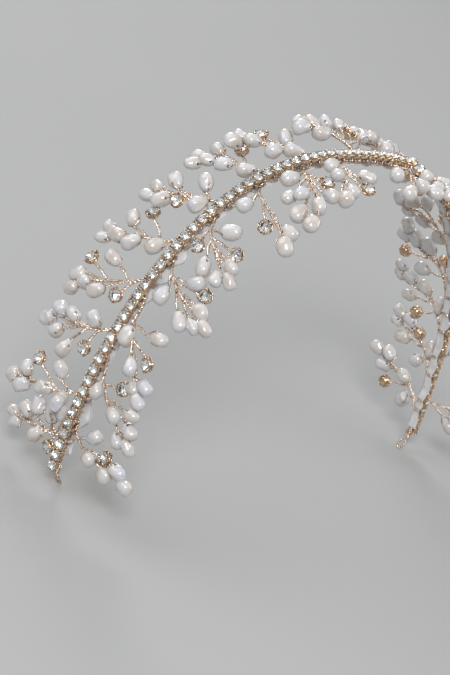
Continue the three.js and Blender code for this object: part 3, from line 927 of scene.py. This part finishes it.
def sheer():
    m = Nodes("sheer_ribbon", sheen_weight=0.4, roughness=0.55)
    m.drive(m.ramp(m.noise(500, 3), (0.4, (0.72, 0.72, 0.74)), (0.6, (0.83, 0.83, 0.85))), "Base Color")
    uv = m.node("ShaderNodeUVMap", uv_map="weave")
    waves = []
    for axis in ("X", "Y"):
        wave = m.node("ShaderNodeTexWave", bands_direction=axis)
        wave.inputs["Scale"].default_value = 1.6
        m.link(uv.outputs["UV"], wave.inputs["Vector"])
        waves.append(wave.outputs["Fac"])
    both = m.node("ShaderNodeMath", operation="MAXIMUM")
    m.link(waves[0], both.inputs[0])
    m.link(waves[1], both.inputs[1])
    m.drive(m.range(both.outputs[0], 0.38, 0.6), "Alpha")
    m.bump(both.outputs[0], 0.00003, 0.4)
    return m.material


WIRE = metal("rose_gold_wire", (0.86, 0.74, 0.63), (0.51, 0.385, 0.30), (0.15, 0.3))
CLAW = metal("claw_cup", (0.82, 0.61, 0.42), (0.50, 0.33, 0.20), (0.13, 0.27))
GILT = metal("gilt_cup", (0.87, 0.70, 0.50), (0.52, 0.36, 0.24), (0.13, 0.28))
NACRE, GLASS, FOIL, SHEER = nacre(), glass(), foil(), sheer()


# ---------------------------------------------------------------- build everything
core_wire()
cup_chain()
ribbon()
for label, side, row in (("front", -1, FRONT), ("back", 1, BACK)):
    for number, (gap, letter) in enumerate(row, 1):
        sprig(f"{label}_sprig_{number:02d}", side, gap, label + letter)


# ---------------------------------------------------------------- floor, light and camera
LIT = (0, 0, 0.06)


def floor():
    """A pale matt floor just under the part."""
    size, z = 4.0, CAD_BOX[0][2] - 0.0002
    corners = [(-size, -size, z), (size, -size, z), (size, size, z), (-size, size, z)]
    mesh = bpy.data.meshes.new("floor")
    mesh.from_pydata(corners, [], [(0, 1, 2, 3)])
    obj = bpy.data.objects.new("floor", mesh)
    bpy.context.scene.collection.objects.link(obj)
    m = Nodes("floor", roughness=0.9)
    m.drive(m.ramp(m.noise(3, 1), (0.4, (0.345, 0.348, 0.343)), (0.6, (0.35, 0.353, 0.348))), "Base Color")
    mesh.materials.append(m.material)


def area(name, at, size, energy, color=(1, 1, 1)):
    """A round lamp that points at the middle of the arch."""
    light = bpy.data.lights.new(name, "AREA")
    light.shape, light.size, light.energy, light.color = "DISK", size, energy, color
    obj = bpy.data.objects.new(name, light)
    obj.location = at
    obj.rotation_euler = (Vector(LIT) - Vector(at)).to_track_quat("-Z", "Y").to_euler()
    bpy.context.scene.collection.objects.link(obj)


def world():
    """A studio that is bright overhead and dim at eye level."""
    made = bpy.data.worlds.new("studio")
    made.use_nodes = True
    tree = made.node_tree
    place = tree.nodes.new("ShaderNodeTexCoord")
    parts = tree.nodes.new("ShaderNodeSeparateXYZ")
    ramp = tree.nodes.new("ShaderNodeValToRGB")
    greys = ((0.0, 0.31), (0.9, 0.9))
    for point, (position, grey) in zip(ramp.color_ramp.elements, greys):
        point.position, point.color = position, (grey, grey, grey * 1.02, 1)
    tree.links.new(place.outputs["Generated"], parts.inputs["Vector"])
    tree.links.new(parts.outputs["Z"], ramp.inputs["Fac"])
    tree.links.new(ramp.outputs["Color"], tree.nodes["Background"].inputs["Color"])
    tree.nodes["Background"].inputs["Strength"].default_value = 0.8
    bpy.context.scene.world = made


CAMERA_AT = (-0.391, -0.312, 0.229)
CAMERA_FORWARD = (0.7078, 0.6064, -0.3598)
CAMERA_ROLL = math.radians(20.5)
LENS, SENSOR_WIDTH = 102.8, 36.0


def camera():
    """The photograph's viewing angle: from the front left, a little above, and rolled."""
    forward = Vector(CAMERA_FORWARD).normalized()
    right = forward.cross(Vector((0, 0, 1))).normalized()
    up = right.cross(forward)
    x = right * math.cos(CAMERA_ROLL) + up * math.sin(CAMERA_ROLL)
    y = up * math.cos(CAMERA_ROLL) - right * math.sin(CAMERA_ROLL)
    data = bpy.data.cameras.new("camera")
    data.lens, data.sensor_width, data.clip_start = LENS, SENSOR_WIDTH, 0.01
    obj = bpy.data.objects.new("camera", data)
    turn = Matrix((x, y, -forward)).transposed().to_4x4()
    obj.matrix_world = Matrix.Translation(CAMERA_AT) @ turn
    bpy.context.scene.collection.objects.link(obj)
    bpy.context.scene.camera = obj


floor()
world()
area("key", (-0.75, -0.62, 0.8), 0.45, 10.0)
area("window", (-0.5, 0.6, 0.9), 0.9, 3.5, (0.98, 0.99, 1.0))
area("fill", (0.8, -0.5, 0.5), 0.5, 1.5)
area("rim", (0.5, 0.9, 0.7), 0.4, 4.0)
camera()
bpy.context.scene.view_settings.view_transform = "Standard"
